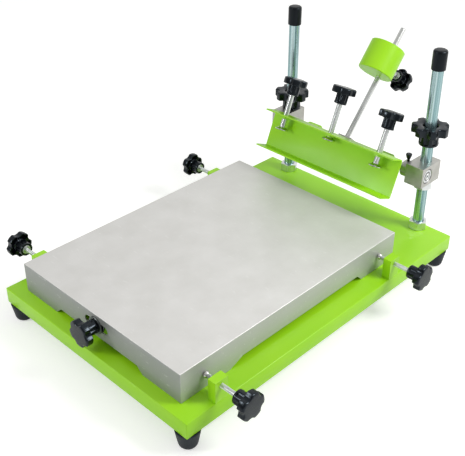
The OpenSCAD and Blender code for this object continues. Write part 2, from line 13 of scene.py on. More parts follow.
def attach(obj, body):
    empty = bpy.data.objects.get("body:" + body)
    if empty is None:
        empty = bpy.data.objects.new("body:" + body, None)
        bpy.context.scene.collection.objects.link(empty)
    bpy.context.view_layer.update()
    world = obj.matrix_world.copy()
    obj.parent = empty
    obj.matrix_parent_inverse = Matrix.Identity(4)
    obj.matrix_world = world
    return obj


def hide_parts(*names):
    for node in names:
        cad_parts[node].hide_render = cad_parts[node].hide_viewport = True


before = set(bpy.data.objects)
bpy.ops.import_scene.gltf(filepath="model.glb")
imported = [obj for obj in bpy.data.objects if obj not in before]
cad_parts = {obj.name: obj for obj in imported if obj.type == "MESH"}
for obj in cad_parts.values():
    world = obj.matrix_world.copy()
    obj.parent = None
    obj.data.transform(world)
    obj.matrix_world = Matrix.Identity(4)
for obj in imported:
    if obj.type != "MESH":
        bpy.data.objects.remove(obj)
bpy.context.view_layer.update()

MM = 0.001
FULL_TURN = 2 * math.pi
# Points closer than this are one point: on a turned shape, and on a copied solid or a thread
TURNED_MERGE, COPY_MERGE = 0.0005, 0.002
# Places this close count as the same
NEAR = 0.01
# Two faces that turn by more than this meet in an edge, which some pieces have softened
CREASE = math.radians(32)
# Depth of a screw's thread as a share of its pitch
THREAD_DEPTH = 0.6134

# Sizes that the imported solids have, in millimetres
SIDE_X, SIDE_Y, SIDE_Z = 150, 163.5, -21
FRONT_Y, FRONT_Z = -200, -16
FRONT_HUB_FACE = 2.1
PRESS_X = 1.4
POST_HALF, POST_Y, POST_LOW, POST_HIGH = 127.1, 293.4, -61.8, 231.5
PIVOT_Y, PIVOT_Z = 278.4, 54
BLOCK_HALF_W, BLOCK_HALF_H = 14.5, 15.2
BEARING_W = 7
ARM_TILT, ROD_LEAN = 22.7, 40.9
SCREW_SPACING, SCREW_AHEAD = 86.8, 13
PAD_DROPS = {"left": 23.2, "middle": 10.7, "right": 20.3}
PAD_TO_KNOB = 54.6
ROD_AHEAD, SET_SCREW_Z, WEIGHT_KNOB_OUT = 10.6, 131.5, 43
BASE_TOP_Z, BASE_FOOT_Z = -42.8, -65.8
RIGHT_NUT_LIFT = 25.7
CAP_H, CAP_ROOF = 28, 2.5
FOOT_X, FOOT_YS = 162.8, (-204.0, 293.3)
POST_D, POST_NUT_AF, POST_NUT_H, POST_NUT_BORE = 16, 24, 13, 16.1
# Adjusting screws, then the thicker bars of the clamp, the set screw and the counterweight
SCREW_D, SCREW_PITCH = 6, 1
BAR_D, BAR_NUT_AF, BAR_NUT_BORE = 8, 13, 8.1
TIP_SOCKET, PAD_SOCKET, SET_SCREW_IN = 3.3, 1.7, 4.3
FRONT_SCREW_IN, WASHER_ZS = 33, (0.05, -4.05)
COLLAR_W = 10
CHANNEL_AHEAD, CHANNEL_RISE, CHANNEL_H, CHANNEL_SHEET = 41, 14.8, 58, 2
WELD_NUT_H, JAM_NUT_H = 4, 4.5
ROD_LOW, ROD_TOP, ROD_SHOW = -18, 191, 1.5
SIDE_REACH, KNOB_BORE_DEPTH = 52, 12
# Turns at which the knobs stand, in degrees
SIDE_KNOB_TURNS = {("front", "left"): 34, ("front", "right"): 24, ("rear", "left"): 12, ("rear", "right"): 41}
CLAMP_KNOB_TURNS = {"left": 23, "middle": 33, "right": 65}
FRONT_KNOB_TURN, WEIGHT_KNOB_TURN = 56, 39
HEIGHT_KNOB_TURNS = {"left": 49, "right": 4}


def at(x=0.0, y=0.0, z=0.0):
    return Matrix.Translation((x, y, z))


def turned_by(degrees, axis):
    return Matrix.Rotation(math.radians(degrees), 4, axis)


# Places

IN_ARM = at(PRESS_X, PIVOT_Y, PIVOT_Z) @ turned_by(-ARM_TILT, "X") @ at(0, -CHANNEL_AHEAD, CHANNEL_RISE)
IN_ROD = at(PRESS_X, PIVOT_Y, PIVOT_Z) @ turned_by(-ROD_LEAN, "X")
AT_SET_SCREW = IN_ROD @ at(0, -ROD_AHEAD, SET_SCREW_Z) @ turned_by(-90, "X")
AT_FRONT = at(0, FRONT_Y, FRONT_Z) @ turned_by(90, "X")
SIDES = {"left": -1, "right": 1}
ENDS = {"front": -1, "rear": 1}


def at_side(side, end):
    return at(SIDES[side] * SIDE_X, ENDS[end] * SIDE_Y, SIDE_Z) @ turned_by(SIDES[side] * 90, "Y")


def at_clamp(place):
    along = {"left": -1, "middle": 0, "right": 1}[place] * SCREW_SPACING
    return IN_ARM @ at(along, -SCREW_AHEAD, -PAD_DROPS[place])


def at_height_knob(side):
    lift = RIGHT_NUT_LIFT if side == "right" else 0
    return at(PRESS_X + SIDES[side] * POST_HALF, POST_Y, PIVOT_Z + BLOCK_HALF_H + lift)


# Shapes


def turned(outline, steps=48, closed=False):
    """An outline of (radius, height) turned on the lathe round the z axis."""
    bm = bmesh.new()
    points = [bm.verts.new((radius, 0, height)) for radius, height in outline]
    lines = [bm.edges.new(pair) for pair in zip(points, points[1:])]
    if closed:
        lines.append(bm.edges.new((points[-1], points[0])))
    bmesh.ops.spin(
        bm, geom=points + lines, cent=(0, 0, 0), axis=(0, 0, 1), angle=FULL_TURN, steps=steps, use_merge=True
    )
    bmesh.ops.remove_doubles(bm, verts=bm.verts, dist=TURNED_MERGE)
    bmesh.ops.recalc_face_normals(bm, faces=bm.faces)
    return bm


def polar(vert):
    return math.hypot(vert.co.x, vert.co.y), math.atan2(vert.co.y, vert.co.x)


def set_radius(vert, radius):
    old, angle = polar(vert)
    if old > 0:
        vert.co.x = radius * math.cos(angle)
        vert.co.y = radius * math.sin(angle)


def pressed_nut(across_flats, height, bore, countersink=0.8):
    """A nut: a turned and chamfered blank whose sides are pressed to a hexagon."""
    corner = across_flats / 2 / math.cos(math.pi / 6)
    rim = across_flats / 2 * 0.95
    slope = math.tan(math.pi / 6)
    shoulder = (corner - rim) * slope
    inner = bore / 2
    bm = turned(
        [
            (inner, countersink),
            (inner + countersink, 0),
            (rim, 0),
            (corner, shoulder),
            (corner, height - shoulder),
            (rim, height),
            (inner + countersink, height),
            (inner, height - countersink),
        ],
        steps=72,
        closed=True,
    )
    for vert in bm.verts:
        radius, angle = polar(vert)
        flat = across_flats / 2 / math.cos((angle % (math.pi / 3)) - math.pi / 6)
        if radius > flat:
            set_radius(vert, flat)
            low = vert.co.z < height / 2
            vert.co.z = (flat - rim) * slope if low else height - (flat - rim) * slope
    return bm


def threaded_rod(diameter, pitch, length, steps=24):
    """A threaded rod that stands on z = 0: turns of thread end to end, its ends sawn off and chamfered."""
    crest = diameter / 2
    root = crest - THREAD_DEPTH * pitch
    turn = bmesh.new()
    shares = [(root, 0), (root, 0.25), (crest, 0.5625), (crest, 0.6875), (root, 1)]
    points = [turn.verts.new((radius, 0, (share - 1) * pitch)) for radius, share in shares]
    lines = [turn.edges.new(pair) for pair in zip(points, points[1:])]
    bmesh.ops.spin(
        turn,
        geom=points + lines,
        cent=(0, 0, 0),
        axis=(0, 0, 1),
        dvec=(0, 0, pitch / steps),
        angle=FULL_TURN,
        steps=steps,
    )
    one_turn = bpy.data.meshes.new("one turn of thread")
    turn.to_mesh(one_turn)
    turn.free()
    bm = bmesh.new()
    for _ in range(math.ceil(length / pitch) + 2):
        bm.from_mesh(one_turn)
        one_turn.transform(at(z=pitch))
    bpy.data.meshes.remove(one_turn)
    bmesh.ops.remove_doubles(bm, verts=bm.verts, dist=COPY_MERGE)
    for height, up in ((0, -1), (length, 1)):
        bmesh.ops.bisect_plane(
            bm,
            geom=bm.verts[:] + bm.edges[:] + bm.faces[:],
            plane_co=(0, 0, height),
            plane_no=(0, 0, up),
            clear_outer=True,
        )
        rim = [edge for edge in bm.edges if edge.is_boundary and abs(edge.verts[0].co.z - height) < 0.001]
        bmesh.ops.holes_fill(bm, edges=rim, sides=0)
    for vert in bm.verts:
        end = min(vert.co.z, length - vert.co.z)
        if polar(vert)[0] > root + end:
            set_radius(vert, root + end)
    bmesh.ops.recalc_face_normals(bm, faces=bm.faces)
    return bm


def drawn_bar(radius, length, chamfer=0.6):
    """A smooth bar that stands on z = 0, with chamfered ends."""
    outline = [
        (0, 0),
        (radius - chamfer, 0),
        (radius, chamfer),
        (radius, length - chamfer),
        (radius - chamfer, length),
        (0, length),
    ]
    return turned(outline, steps=64)


def rim_radius(angle, lobes, radius, flute, bite, soft):
    """The rim of a star knob: a round disc with a flute scooped out between each two lobes."""
    half = math.pi / lobes
    off_flute = half - abs((angle + half) % (2 * half) - half)
    centre = radius + flute / 2 - bite
    across = centre * math.sin(off_flute)
    if across >= flute / 2:
        return radius
    scoop = centre * math.cos(off_flute) - math.sqrt((flute / 2) ** 2 - across**2)
    return -soft * math.log(math.exp(-radius / soft) + math.exp(-scoop / soft))


def lobed(bm, lobes, radius, hub_radius, hub_length, flute, bite, hub_flute, collar, soft, pocket):
    """Gives a turned knob blank its lobes, the flutes of its hub and the ribs that part its hollows."""
    low, high = pocket
    for vert in bm.verts:
        out, angle = polar(vert)
        rim = rim_radius(angle, lobes, radius, flute, bite, soft)
        valley = min(1, max(0, (radius - rim) / bite))
        if out > hub_radius + NEAR:
            set_radius(vert, hub_radius + (out - hub_radius) * (rim - hub_radius) / (radius - hub_radius))
        elif collar < vert.co.z < hub_length and out > hub_radius * 0.8:
            set_radius(vert, out - hub_flute * valley)
        if hub_radius < out and abs(vert.co.z - high) < NEAR:
            vert.co.z = high + (low - high) * min(1, valley * 1.6)
    return bm


def small_knob_shape(screw):
    """A small five-lobed knob, hub down on z = 0, with hollows in its back."""
    hub_length = 15
    radius, hub_radius, top = 18, 9.25, hub_length + 10
    back, floor = hub_length, hub_length + 6
    bore = screw / 2 + 0.05
    outline = [
        (0, top),
        (8, top - 0.04),
        (14, top - 0.15),
        (16.3, top - 0.3),
        (16.9, top - 0.6),
        (17.5, top - 1.2),
        (17.85, top - 1.7),
        (radius, top - 2.4),
        (radius, back + 1),
        (17.8, back + 0.3),
        (17.3, back),
        (16, back),
        (15.6, back + 0.5),
        (15.2, floor),
        (10.8, floor),
        (10.2, back + 0.8),
        (hub_radius, back - 0.4),
        (hub_radius, back - 2),
        (hub_radius, 3.6),
        (hub_radius, 2.8),
        (hub_radius, 0.7),
        (hub_radius - 0.2, 0.2),
        (hub_radius - 0.7, 0),
        (6.5, 0),
        (6.2, 0.3),
        (6.2, 3),
        (bore, 3),
        (bore, KNOB_BORE_DEPTH),
        (0, KNOB_BORE_DEPTH),
    ]
    blank = turned(outline, steps=90)
    return lobed(
        blank,
        lobes=5,
        radius=radius,
        hub_radius=hub_radius,
        hub_length=back - 0.3,
        flute=15,
        bite=3.2,
        hub_flute=1.6,
        collar=3.2,
        soft=0.35,
        pocket=(back + 0.6, floor),
    )


def knob_insert_shape(screw):
    """The steel insert that shows as a bright disc at a small knob's hub."""
    bore = screw / 2 + 0.05
    outline = [(bore, 0.6), (bore + 0.5, 0.1), (5.7, 0.1), (6, 0.4), (6, 2.9), (bore, 2.9)]
    return turned(outline, closed=True)


def height_knob_shape():
    """A big seven-lobed knob with a through bore, hub down on z = 0."""
    radius, hub_radius, back, top = 26.25, 14, 17.5, 30
    floor = back + 8
    outline = [
        (12.05, 0),
        (13.2, 0),
        (13.8, 0.3),
        (hub_radius, 1.1),
        (hub_radius, 3),
        (hub_radius, 3.6),
        (hub_radius, back - 2),
        (hub_radius, back - 0.4),
        (15.4, back + 0.8),
        (16, floor),
        (22.8, floor),
        (23.4, back + 0.6),
        (23.9, back),
        (25.3, back),
        (26, back + 0.4),
        (radius, back + 1.4),
        (radius, top - 2.6),
        (26, top - 1.4),
        (25.2, top - 0.6),
        (24, top - 0.15),
        (22.4, top),
        (18, top),
        (12.6, top - 0.3),
        (11.4, top - 0.9),
        (10.5, top - 2.2),
        (10.5, 13),
        (12.05, 13),
    ]
    blank = turned(outline, steps=126, closed=True)
    return lobed(
        blank,
        lobes=7,
        radius=radius,
        hub_radius=hub_radius,
        hub_length=back - 0.3,
        flute=15,
        bite=5.8,
        hub_flute=1.6,
        collar=3.2,
        soft=0.4,
        pocket=(back + 0.8, floor),
    )


def solid_copy(node, place=Matrix()):
    """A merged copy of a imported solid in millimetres, in the axes of its place, with its flat faces whole."""
    bm = bmesh.new()
    bm.from_mesh(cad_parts[node].data)
    bmesh.ops.transform(bm, matrix=place.inverted() @ Matrix.Scale(1 / MM, 4), verts=bm.verts)
    bmesh.ops.remove_doubles(bm, verts=bm.verts, dist=COPY_MERGE)
    bmesh.ops.dissolve_limit(bm, angle_limit=math.radians(0.5), verts=bm.verts, edges=bm.edges)
    return bm


def rounded(bm, chosen, radius, segments=4):
    """Rolls the chosen edges over, as a folded sheet has them."""
    edges = [edge for edge in bm.edges if chosen(edge)]
    bmesh.ops.bevel(
        bm,
        geom=edges,
        offset=radius,
        segments=segments,
        profile=0.5,
        affect="EDGES",
        material=-1,
        clamp_overlap=True,
    )
    return bm


def box_edges(bm, skip_low=False):
    """A test for the edges where two faces of a shape's box meet."""
    low = Vector([min(v.co[i] for v in bm.verts) for i in range(3)])
    high = Vector([max(v.co[i] for v in bm.verts) for i in range(3)])

    def on_two_faces(edge):
        middle = (edge.verts[0].co + edge.verts[1].co) / 2
        if skip_low and abs(middle.z - low.z) < NEAR:
            return False
        met = sum(abs(middle[i] - low[i]) < NEAR or abs(middle[i] - high[i]) < NEAR for i in range(3))
        return met >= 2

    return on_two_faces


# Materials


def linear(colour):
    """An sRGB hex colour as linear light."""
    shares = [int(colour[i : i + 2], 16) / 255 for i in (1, 3, 5)]
    return [c / 12.92 if c <= 0.04045 else ((c + 0.055) / 1.055) ** 2.4 for c in shares] + [1.0]


def add(tree, kind, inputs=None, **settings):
    """Adds a node with its settings; an input is a value, or another node's output to link."""
    made = tree.nodes.new(kind)
    for key, value in settings.items():
        setattr(made, key, value)
    for key, value in (inputs or {}).items():
        if isinstance(value, bpy.types.NodeSocket):
            tree.links.new(value, made.inputs[key])
        else:
            made.inputs[key].default_value = value
    return made


def per(millimetres):
    """A pattern's scale from the real size of one of its grains."""
    return 1 / (millimetres * MM)


def new_material(name):
    material = bpy.data.materials.new(name)
    material.use_nodes = True
    material.node_tree.nodes.clear()
    return material, material.node_tree


def finish_material(material, tree, shader):
    add(tree, "ShaderNodeOutputMaterial", {"Surface": shader.outputs[0]})
    return material


def grain(tree, size, detail=2.0, stretch=(1, 1, 1), roughness=0.5):
    """A noise whose grains are size millimetres across, stretched along an axis by a share below 1."""
    place = add(tree, "ShaderNodeTexCoord")
    turned_pattern = add(tree, "ShaderNodeMapping", {"Vector": place.outputs["Object"], "Scale": stretch})
    return add(
        tree,
        "ShaderNodeTexNoise",
        {"Vector": turned_pattern.outputs[0], "Scale": per(size), "Detail": detail, "Roughness": roughness},
    ).outputs["Fac"]


def mixed(tree, share, first, second):
    mix = add(tree, "ShaderNodeMix", {0: share, 6: linear(first), 7: linear(second)}, data_type="RGBA")
    return mix.outputs[2]


def spread(tree, value, low, high, from_low=0.3, from_high=0.7):
    """A pattern's value brought into a range."""
    return add(
        tree,
        "ShaderNodeMapRange",
        {"Value": value, "From Min": from_low, "From Max": from_high, "To Min": low, "To Max": high},
    ).outputs[0]


def bumped(tree, height, depth, strength=1.0):
    bump = add(tree, "ShaderNodeBump", {"Height": height, "Distance": depth * MM, "Strength": strength})
    return bump.outputs[0]


def powder_coat():
    """Polyester powder coat on steel: baked on, so it flows to a thick gloss with a soft orange peel."""
    material, tree = new_material("Lime powder coat")
    tone = spread(tree, grain(tree, 70, 2), 0, 1)
    peel = grain(tree, 2.2, 1)
    shader = add(
        tree,
        "ShaderNodeBsdfPrincipled",
        {
            "Base Color": mixed(tree, tone, "#9ADB17", "#A1DF1C"),
            "Roughness": spread(tree, grain(tree, 25, 3), 0.3, 0.37),
            "IOR": 1.5,
            "Specular IOR Level": 0.42,
            "Normal": bumped(tree, peel, 0.02, 0.35),
        },
    )
    return finish_material(material, tree, shader)


def brushed_stainless():
    """Cold rolled stainless sheet, brushed along its length: fine lines that blur reflections across them."""
    material, tree = new_material("Brushed stainless steel")
    place = add(tree, "ShaderNodeTexCoord")
    normal = add(tree, "ShaderNodeSeparateXYZ", {"Vector": place.outputs["Normal"]})
    # Masks for the painted shade: the front and rear skirts, then all four skirts, told by the way their faces
    # look
    facing = add(tree, "ShaderNodeMath", {0: normal.outputs["Y"]}, operation="ABSOLUTE")
    ends = add(tree, "ShaderNodeMath", {0: facing.outputs[0], 1: 0.7}, operation="GREATER_THAN")
    level = add(tree, "ShaderNodeMath", {0: normal.outputs["Z"]}, operation="ABSOLUTE")
    folded = add(tree, "ShaderNodeMath", {0: level.outputs[0], 1: 0.5}, operation="LESS_THAN")
    share = add(tree, "ShaderNodeMath", {0: folded.outputs[0], 1: 0.6}, operation="MULTIPLY")
    share = add(
        tree, "ShaderNodeMath", {0: ends.outputs[0], 1: 0.4, 2: share.outputs[0]}, operation="MULTIPLY_ADD"
    )
    # The real lines are about 0.1 mm apart; they are drawn 0.7 mm apart, so that they show
    along_y = grain(tree, 0.7, 3, (1, 0.02, 1))
    along_z = grain(tree, 0.7, 3, (1, 1, 0.02))
    lines = add(tree, "ShaderNodeMix", {0: ends.outputs[0], 2: along_y, 3: along_z}, data_type="FLOAT")
    lines = lines.outputs[0]
    cloud = spread(tree, grain(tree, 45, 4), 0, 1)
    sheet = mixed(tree, cloud, "#DAD9D5", "#E3E2DF")
    # Painted shade: the folded sides are painted toward a darker grey than the top, the front and rear skirts
    # fully and the left and right skirts in part
    sheet_with_painted_shade = add(
        tree,
        "ShaderNodeMix",
        {0: share.outputs[0], 6: sheet, 7: linear("#9FA29F")},
        data_type="RGBA",
    ).outputs[2]
    scratches = grain(tree, 5, 6, (0.25, 1, 1), 0.75)
    worn = spread(tree, scratches, 0, 0.35, 0.6, 0.66)
    shader = add(
        tree,
        "ShaderNodeBsdfPrincipled",
        {
            "Base Color": add(
                tree, "ShaderNodeMix", {0: worn, 6: sheet_with_painted_shade, 7: linear("#F4F4F2")}, data_type="RGBA"
            ).outputs[2],
            "Metallic": 0.55,
            "Roughness": spread(tree, lines, 0.48, 0.58),
            "Normal": bumped(tree, lines, 0.02, 0.25),
        },
    )
    return finish_material(material, tree, shader)


def plated(name, dull, bright, roughness, mottle=9.0):
    """Electroplated zinc on steel: a thin metal skin, faintly tinted in soft patches by its passivation."""
    material, tree = new_material(name)
    patch = spread(tree, grain(tree, mottle, 3), 0, 1)
    shader = add(
        tree,
        "ShaderNodeBsdfPrincipled",
        {
            "Base Color": mixed(tree, patch, dull, bright),
            "Metallic": 1.0,
            "Roughness": spread(tree, grain(tree, 3, 2), roughness, roughness + 0.1),
            "Normal": bumped(tree, grain(tree, 0.8, 2), 0.01, 0.2),
        },
    )
    return finish_material(material, tree, shader)


def drawn(name, dark, light, roughness, painted_streak_size, lean=0.0):
    """Drawn and plated bar: the die leaves fine lines along it, which vary its gloss; the light and dark
    streaks along it in its colour are painted reflections.
    """
    material, tree = new_material(name)
    place = add(tree, "ShaderNodeTexCoord")
    upright = add(
        tree, "ShaderNodeMapping", {"Vector": place.outputs["Object"], "Rotation": (math.radians(lean), 0, 0)}
    )
    along = add(tree, "ShaderNodeMapping", {"Vector": upright.outputs[0], "Scale": (1, 1, 0.004)})
    # Painted reflections: long light and dark streaks along the bar, mixed into its colour
    lines = add(
        tree,
        "ShaderNodeTexNoise",
        {"Vector": along.outputs[0], "Scale": per(painted_streak_size), "Detail": 2.0, "Roughness": 0.6},
    ).outputs["Fac"]
    shader = add(
        tree,
        "ShaderNodeBsdfPrincipled",
        {
            "Base Color": mixed(tree, spread(tree, lines, 0, 1, 0.36, 0.62), dark, light),
            "Metallic": 0.8,
            "Roughness": spread(tree, lines, roughness + 0.08, roughness),
        },
    )
    return finish_material(material, tree, shader)


def machined(name, colour, light, roughness, stretch):
    """Milled and tumbled aluminium: a soft satin grey with faint cutter lines."""
    material, tree = new_material(name)
    lines = grain(tree, 0.6, 3, stretch)
    shader = add(
        tree,
        "ShaderNodeBsdfPrincipled",
        {
            "Base Color": mixed(tree, spread(tree, grain(tree, 12, 3), 0, 1), colour, light),
            "Metallic": 1.0,
            "Roughness": spread(tree, lines, roughness, roughness + 0.12),
            "Normal": bumped(tree, lines, 0.02, 0.3),
        },
    )
    return finish_material(material, tree, shader)


def moulded(name, dark, light, roughness, texture, depth, specular=0.5):
    """Nylon, rubber or vinyl, moulded: nearly black, with the fine tooth of the tool's spark-eroded face."""
    material, tree = new_material(name)
    tooth = grain(tree, texture, 3)
    shader = add(
        tree,
        "ShaderNodeBsdfPrincipled",
        {
            "Base Color": mixed(tree, spread(tree, grain(tree, 6, 3), 0, 1), dark, light),
            "Roughness": spread(tree, tooth, roughness, roughness + 0.12),
            "IOR": 1.5,
            "Specular IOR Level": specular,
            "Specular Tint": linear("#D3E4F2"),
            "Normal": bumped(tree, tooth, depth, 0.4),
        },
    )
    return finish_material(material, tree, shader)


LIME = powder_coat()
STAINLESS = brushed_stainless()
# Drawn bars: their dark and light colours are the painted reflections of their streaks
BLUE_ZINC = drawn("Blue passivated zinc", "#648D90", "#C6DDE0", 0.2, 3.6)
DRAWN_STEEL = drawn("Drawn steel rod", "#A3A4A3", "#F4F4F3", 0.24, 2.4, ROD_LEAN)
SCREW_ZINC = drawn("Drawn zinc screw", "#9CA3A2", "#F4F6F5", 0.24, 2.4, ARM_TILT)
# Washers: their zinc is painted dark grey as painted shade, for the shadow they sit in
WASHER_PAINTED_SHADE = plated("Zinc washer with painted shade", "#5F6463", "#787D7C", 0.35)
BRIGHT_ZINC = plated("Bright zinc", "#D0D4D4", "#E6E8E8", 0.27)
INSERT_ZINC = plated("Turned zinc insert", "#C4C8C8", "#D8DADA", 0.42)
POLISHED = plated("Polished steel", "#C9C8C6", "#DCDBD9", 0.12)
ALUMINIUM = machined("Satin aluminium", "#B2B1AB", "#C0BFBA", 0.34, (1, 0.03, 1))
BLACK_NYLON = moulded("Black moulded nylon", "#07090C", "#0A0D11", 0.17, 0.7, 0.01, 0.4)
BLACK_RUBBER = moulded("Black rubber", "#14161C", "#1B1E26", 0.42, 0.9, 0.03, 0.4)
BLACK_VINYL = moulded("Black dipped vinyl", "#060608", "#09090B", 0.26, 0.7, 0.01, 0.3)
# Painted shade: a dark grey put in the gaps round the bearings
GAP_PAINTED_SHADE = moulded("Painted shade in bearing gaps", "#2E2E2C", "#3A3A38", 0.5, 0.5, 0.02)

# Pieces


def make(name, bm, material, body, places=(Matrix(),), replaces=(), soft=0.0, segments=2):
    """Puts a shape in its places, in metres, dresses it and lets it ride on its body."""
    shape = bpy.data.meshes.new(name)
    bm.to_mesh(shape)
    bm.free()
    whole = bmesh.new()
    for place in places:
        copy = shape.copy()
        copy.transform(Matrix.Scale(MM, 4) @ place)
        whole.from_mesh(copy)
        bpy.data.meshes.remove(copy)
    whole.to_mesh(shape)
    whole.free()
    shape.shade_smooth()
    shape.set_sharp_from_angle(angle=CREASE)
    shape.materials.append(material)
    piece = bpy.data.objects.new(name, shape)
    bpy.context.scene.collection.objects.link(piece)
    if soft:
        edge = piece.modifiers.new("Soft edges", "BEVEL")
        edge.width = soft * MM
        edge.segments = segments
        edge.limit_method = "ANGLE"
        edge.angle_limit = CREASE
        edge.harden_normals = True
    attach(piece, body)
    if replaces:
        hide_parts(*replaces)
    return piece


def dress(node, material):
    """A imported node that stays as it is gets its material."""
    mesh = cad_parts[node].data
    mesh.materials.clear()
    mesh.materials.append(material)


# Base, folded from one sheet
base = solid_copy("base_plate")
rounded(base, box_edges(base), 1.2, 3)
make("base", base, LIME, "base", replaces=["base_plate"], soft=0.3)
for node in ("side_brackets", "front_bracket"):
    make(
        node.replace("bracket", "lug"),
        solid_copy(node),
        LIME,
        "base",
        replaces=[node],
        soft=0.9,
        segments=3,
    )
dress("post_bosses", LIME)

# Feet: tapered rubber, round at the floor
foot = turned(
    [
        (3.05, 0),
        (14.7, 0),
        (15.3, 0.3),
        (15.5, 0.9),
        (15.1, 3),
        (12.35, 18.6),
        (11.9, 20.8),
        (11.1, 22.9),
        (10.1, 24.2),
        (9, 24.8),
        (7.8, 25),
        (0, 25),
        (0, 12.5),
        (3.05, 12.5),
    ],
    steps=64,
    closed=True,
)
foot_places = []
for x in (PRESS_X - FOOT_X, PRESS_X + FOOT_X):
    for y in FOOT_YS:
        foot_places.append(at(x, y, BASE_FOOT_Z) @ turned_by(180, "X"))
make("rubber_feet", foot, BLACK_RUBBER, "base", foot_places, ["feet"])
dress("foot_studs", BRIGHT_ZINC)
dress("foot_nuts", BRIGHT_ZINC)

# Posts: drawn and plated bar. The photograph shows no thread on them, so none is drawn
for side, sign in SIDES.items():
    x = PRESS_X + sign * POST_HALF
    make(
        f"plated_post_{side}",
        drawn_bar(POST_D / 2, POST_HIGH - POST_LOW),
        BLUE_ZINC,
        "base",
        [at(x, POST_Y, POST_LOW)],
        [f"post_{side}"],
    )
    cap = turned(
        [
            (8.05, 0),
            (9.6, 0),
            (10, 0.4),
            (10, 24.2),
            (9.8, 25.8),
            (9.1, 27),
            (7.9, 27.7),
            (6, 28),
            (0, 28),
            (0, 25.5),
            (8.05, 25.5),
        ],
        closed=True,
    )
    make(
        f"end_cap_{side}",
        cap,
        BLACK_VINYL,
        "base",
        [at(x, POST_Y, POST_HIGH + CAP_ROOF - CAP_H)],
        [f"post_cap_{side}"],
    )
    make(
        f"hex_support_nut_{side}",
        pressed_nut(POST_NUT_AF, POST_NUT_H, POST_NUT_BORE),
        BRIGHT_ZINC,
        f"support_nut_{side}",
        [at(x, POST_Y, PIVOT_Z - BLOCK_HALF_H - POST_NUT_H)],
        [f"support_nut_{side}"],
    )
make(
    "hex_post_nuts",
    pressed_nut(POST_NUT_AF, POST_NUT_H, POST_NUT_BORE),
    BRIGHT_ZINC,
    "base",
    [at(PRESS_X + sign * POST_HALF, POST_Y, BASE_TOP_Z) for sign in (-1, 1)],
    ["post_base_nuts"],
)

# Platen: a folded tray of brushed sheet
platen = solid_copy("platen")
rounded(platen, box_edges(platen, skip_low=True), 0.9)
make("brushed_platen", platen, STAINLESS, "platen", replaces=["platen"], soft=0.2)

# Side adjusters
tip = turned(
    [
        (0, 0.32),
        (2.2, 0.4),
        (3.4, 0.9),
        (4.2, 1.8),
        (4.5, 2.8),
        (4.3, 3.9),
        (3.9, 4.8),
        (3.5, 5.3),
        (3.05, 5.3),
        (3.05, 3.3),
        (0, 3.3),
    ],
    closed=True,
)
make(
    "round_tips",
    tip,
    POLISHED,
    "side_slider",
    [at_side(side, end) for side in SIDES for end in ENDS],
    ["side_tips"],
)
for end in ENDS:
    for side in SIDES:
        body = f"side_adjuster_{end}_{side}"
        place = at_side(side, end)
        make(
            f"threaded_side_screw_{end}_{side}",
            threaded_rod(SCREW_D, SCREW_PITCH, SIDE_REACH + KNOB_BORE_DEPTH - TIP_SOCKET, steps=16),
            BRIGHT_ZINC,
            body,
            [place @ at(z=TIP_SOCKET)],
            [f"side_screw_{end}_{side}"],
        )
        knob_place = place @ at(z=SIDE_REACH) @ turned_by(SIDE_KNOB_TURNS[end, side], "Z")
        make(
            f"star_knob_{end}_{side}",
            small_knob_shape(SCREW_D),
            BLACK_NYLON,
            body,
            [knob_place],
            [f"side_knob_{end}_{side}"],
        )
        insert = knob_insert_shape(SCREW_D)
        make(f"knob_insert_{end}_{side}", insert, INSERT_ZINC, body, [knob_place])

# Front adjuster
washer = turned(
    [(3.05, 0.2), (3.25, 0), (11.7, 0), (12, 0.3), (12, 1.7), (11.7, 2), (3.25, 2), (3.05, 1.8)],
    closed=True,
)
make(
    "round_washers",
    washer,
    WASHER_PAINTED_SHADE,
    "front_slider",
    [AT_FRONT @ at(z=height) for height in WASHER_ZS],
    ["front_washers"],
)
make(
    "threaded_front_screw",
    threaded_rod(SCREW_D, SCREW_PITCH, FRONT_SCREW_IN + FRONT_HUB_FACE + KNOB_BORE_DEPTH, steps=16),
    BRIGHT_ZINC,
    "front_adjuster",
    [AT_FRONT @ at(z=-FRONT_SCREW_IN)],
    ["front_screw"],
)
front_knob_place = AT_FRONT @ at(z=FRONT_HUB_FACE) @ turned_by(FRONT_KNOB_TURN, "Z")
make(
    "front_star_knob",
    small_knob_shape(SCREW_D),
    BLACK_NYLON,
    "front_adjuster",
    [front_knob_place],
    ["front_knob"],
)
make(
    "front_knob_insert",
    knob_insert_shape(SCREW_D),
    INSERT_ZINC,
    "front_adjuster",
    [front_knob_place],
)

# Clamp blocks and what they carry
for side in SIDES:
    make(
        f"milled_block_{side}",
        solid_copy(f"clamp_block_{side}"),
        ALUMINIUM,
        "carriage",
        replaces=[f"clamp_block_{side}"],
        soft=0.6,
    )
bearing_places = [
    at(PRESS_X + sign * (POST_HALF + BLOCK_HALF_W - BEARING_W), PIVOT_Y, PIVOT_Z) @ turned_by(sign * 90, "Y")
    for sign in (-1, 1)
]
bearing = turned(
    [
        (4.05, 0.3),
        (4.3, 0),
        (10.6, 0),
        (11, 0.4),
        (11, 5.2),
        (10.9, 5.5),
        (10.1, 6.8),
        (9.7, 6.9),
        (9.5, 6.5),
        (9.5, 6.1),
        (5.5, 6.1),
        (5.5, 6.6),
        (5.2, 6.8),
        (4.3, 6.8),
        (4.05, 6.5),
    ],
    steps=64,
    closed=True,
)
make("ball_bearings", bearing, POLISHED, "carriage", bearing_places, ["pivot_bearings"])
shield = turned(
    [(6.9, 6.1), (6.9, 6.45), (7.3, 6.6), (8.8, 6.6), (9.2, 6.45), (9.2, 6.1)],
    steps=64,
    closed=True,
)
make("bearing_shields", shield, BRIGHT_ZINC, "carriage", bearing_places)
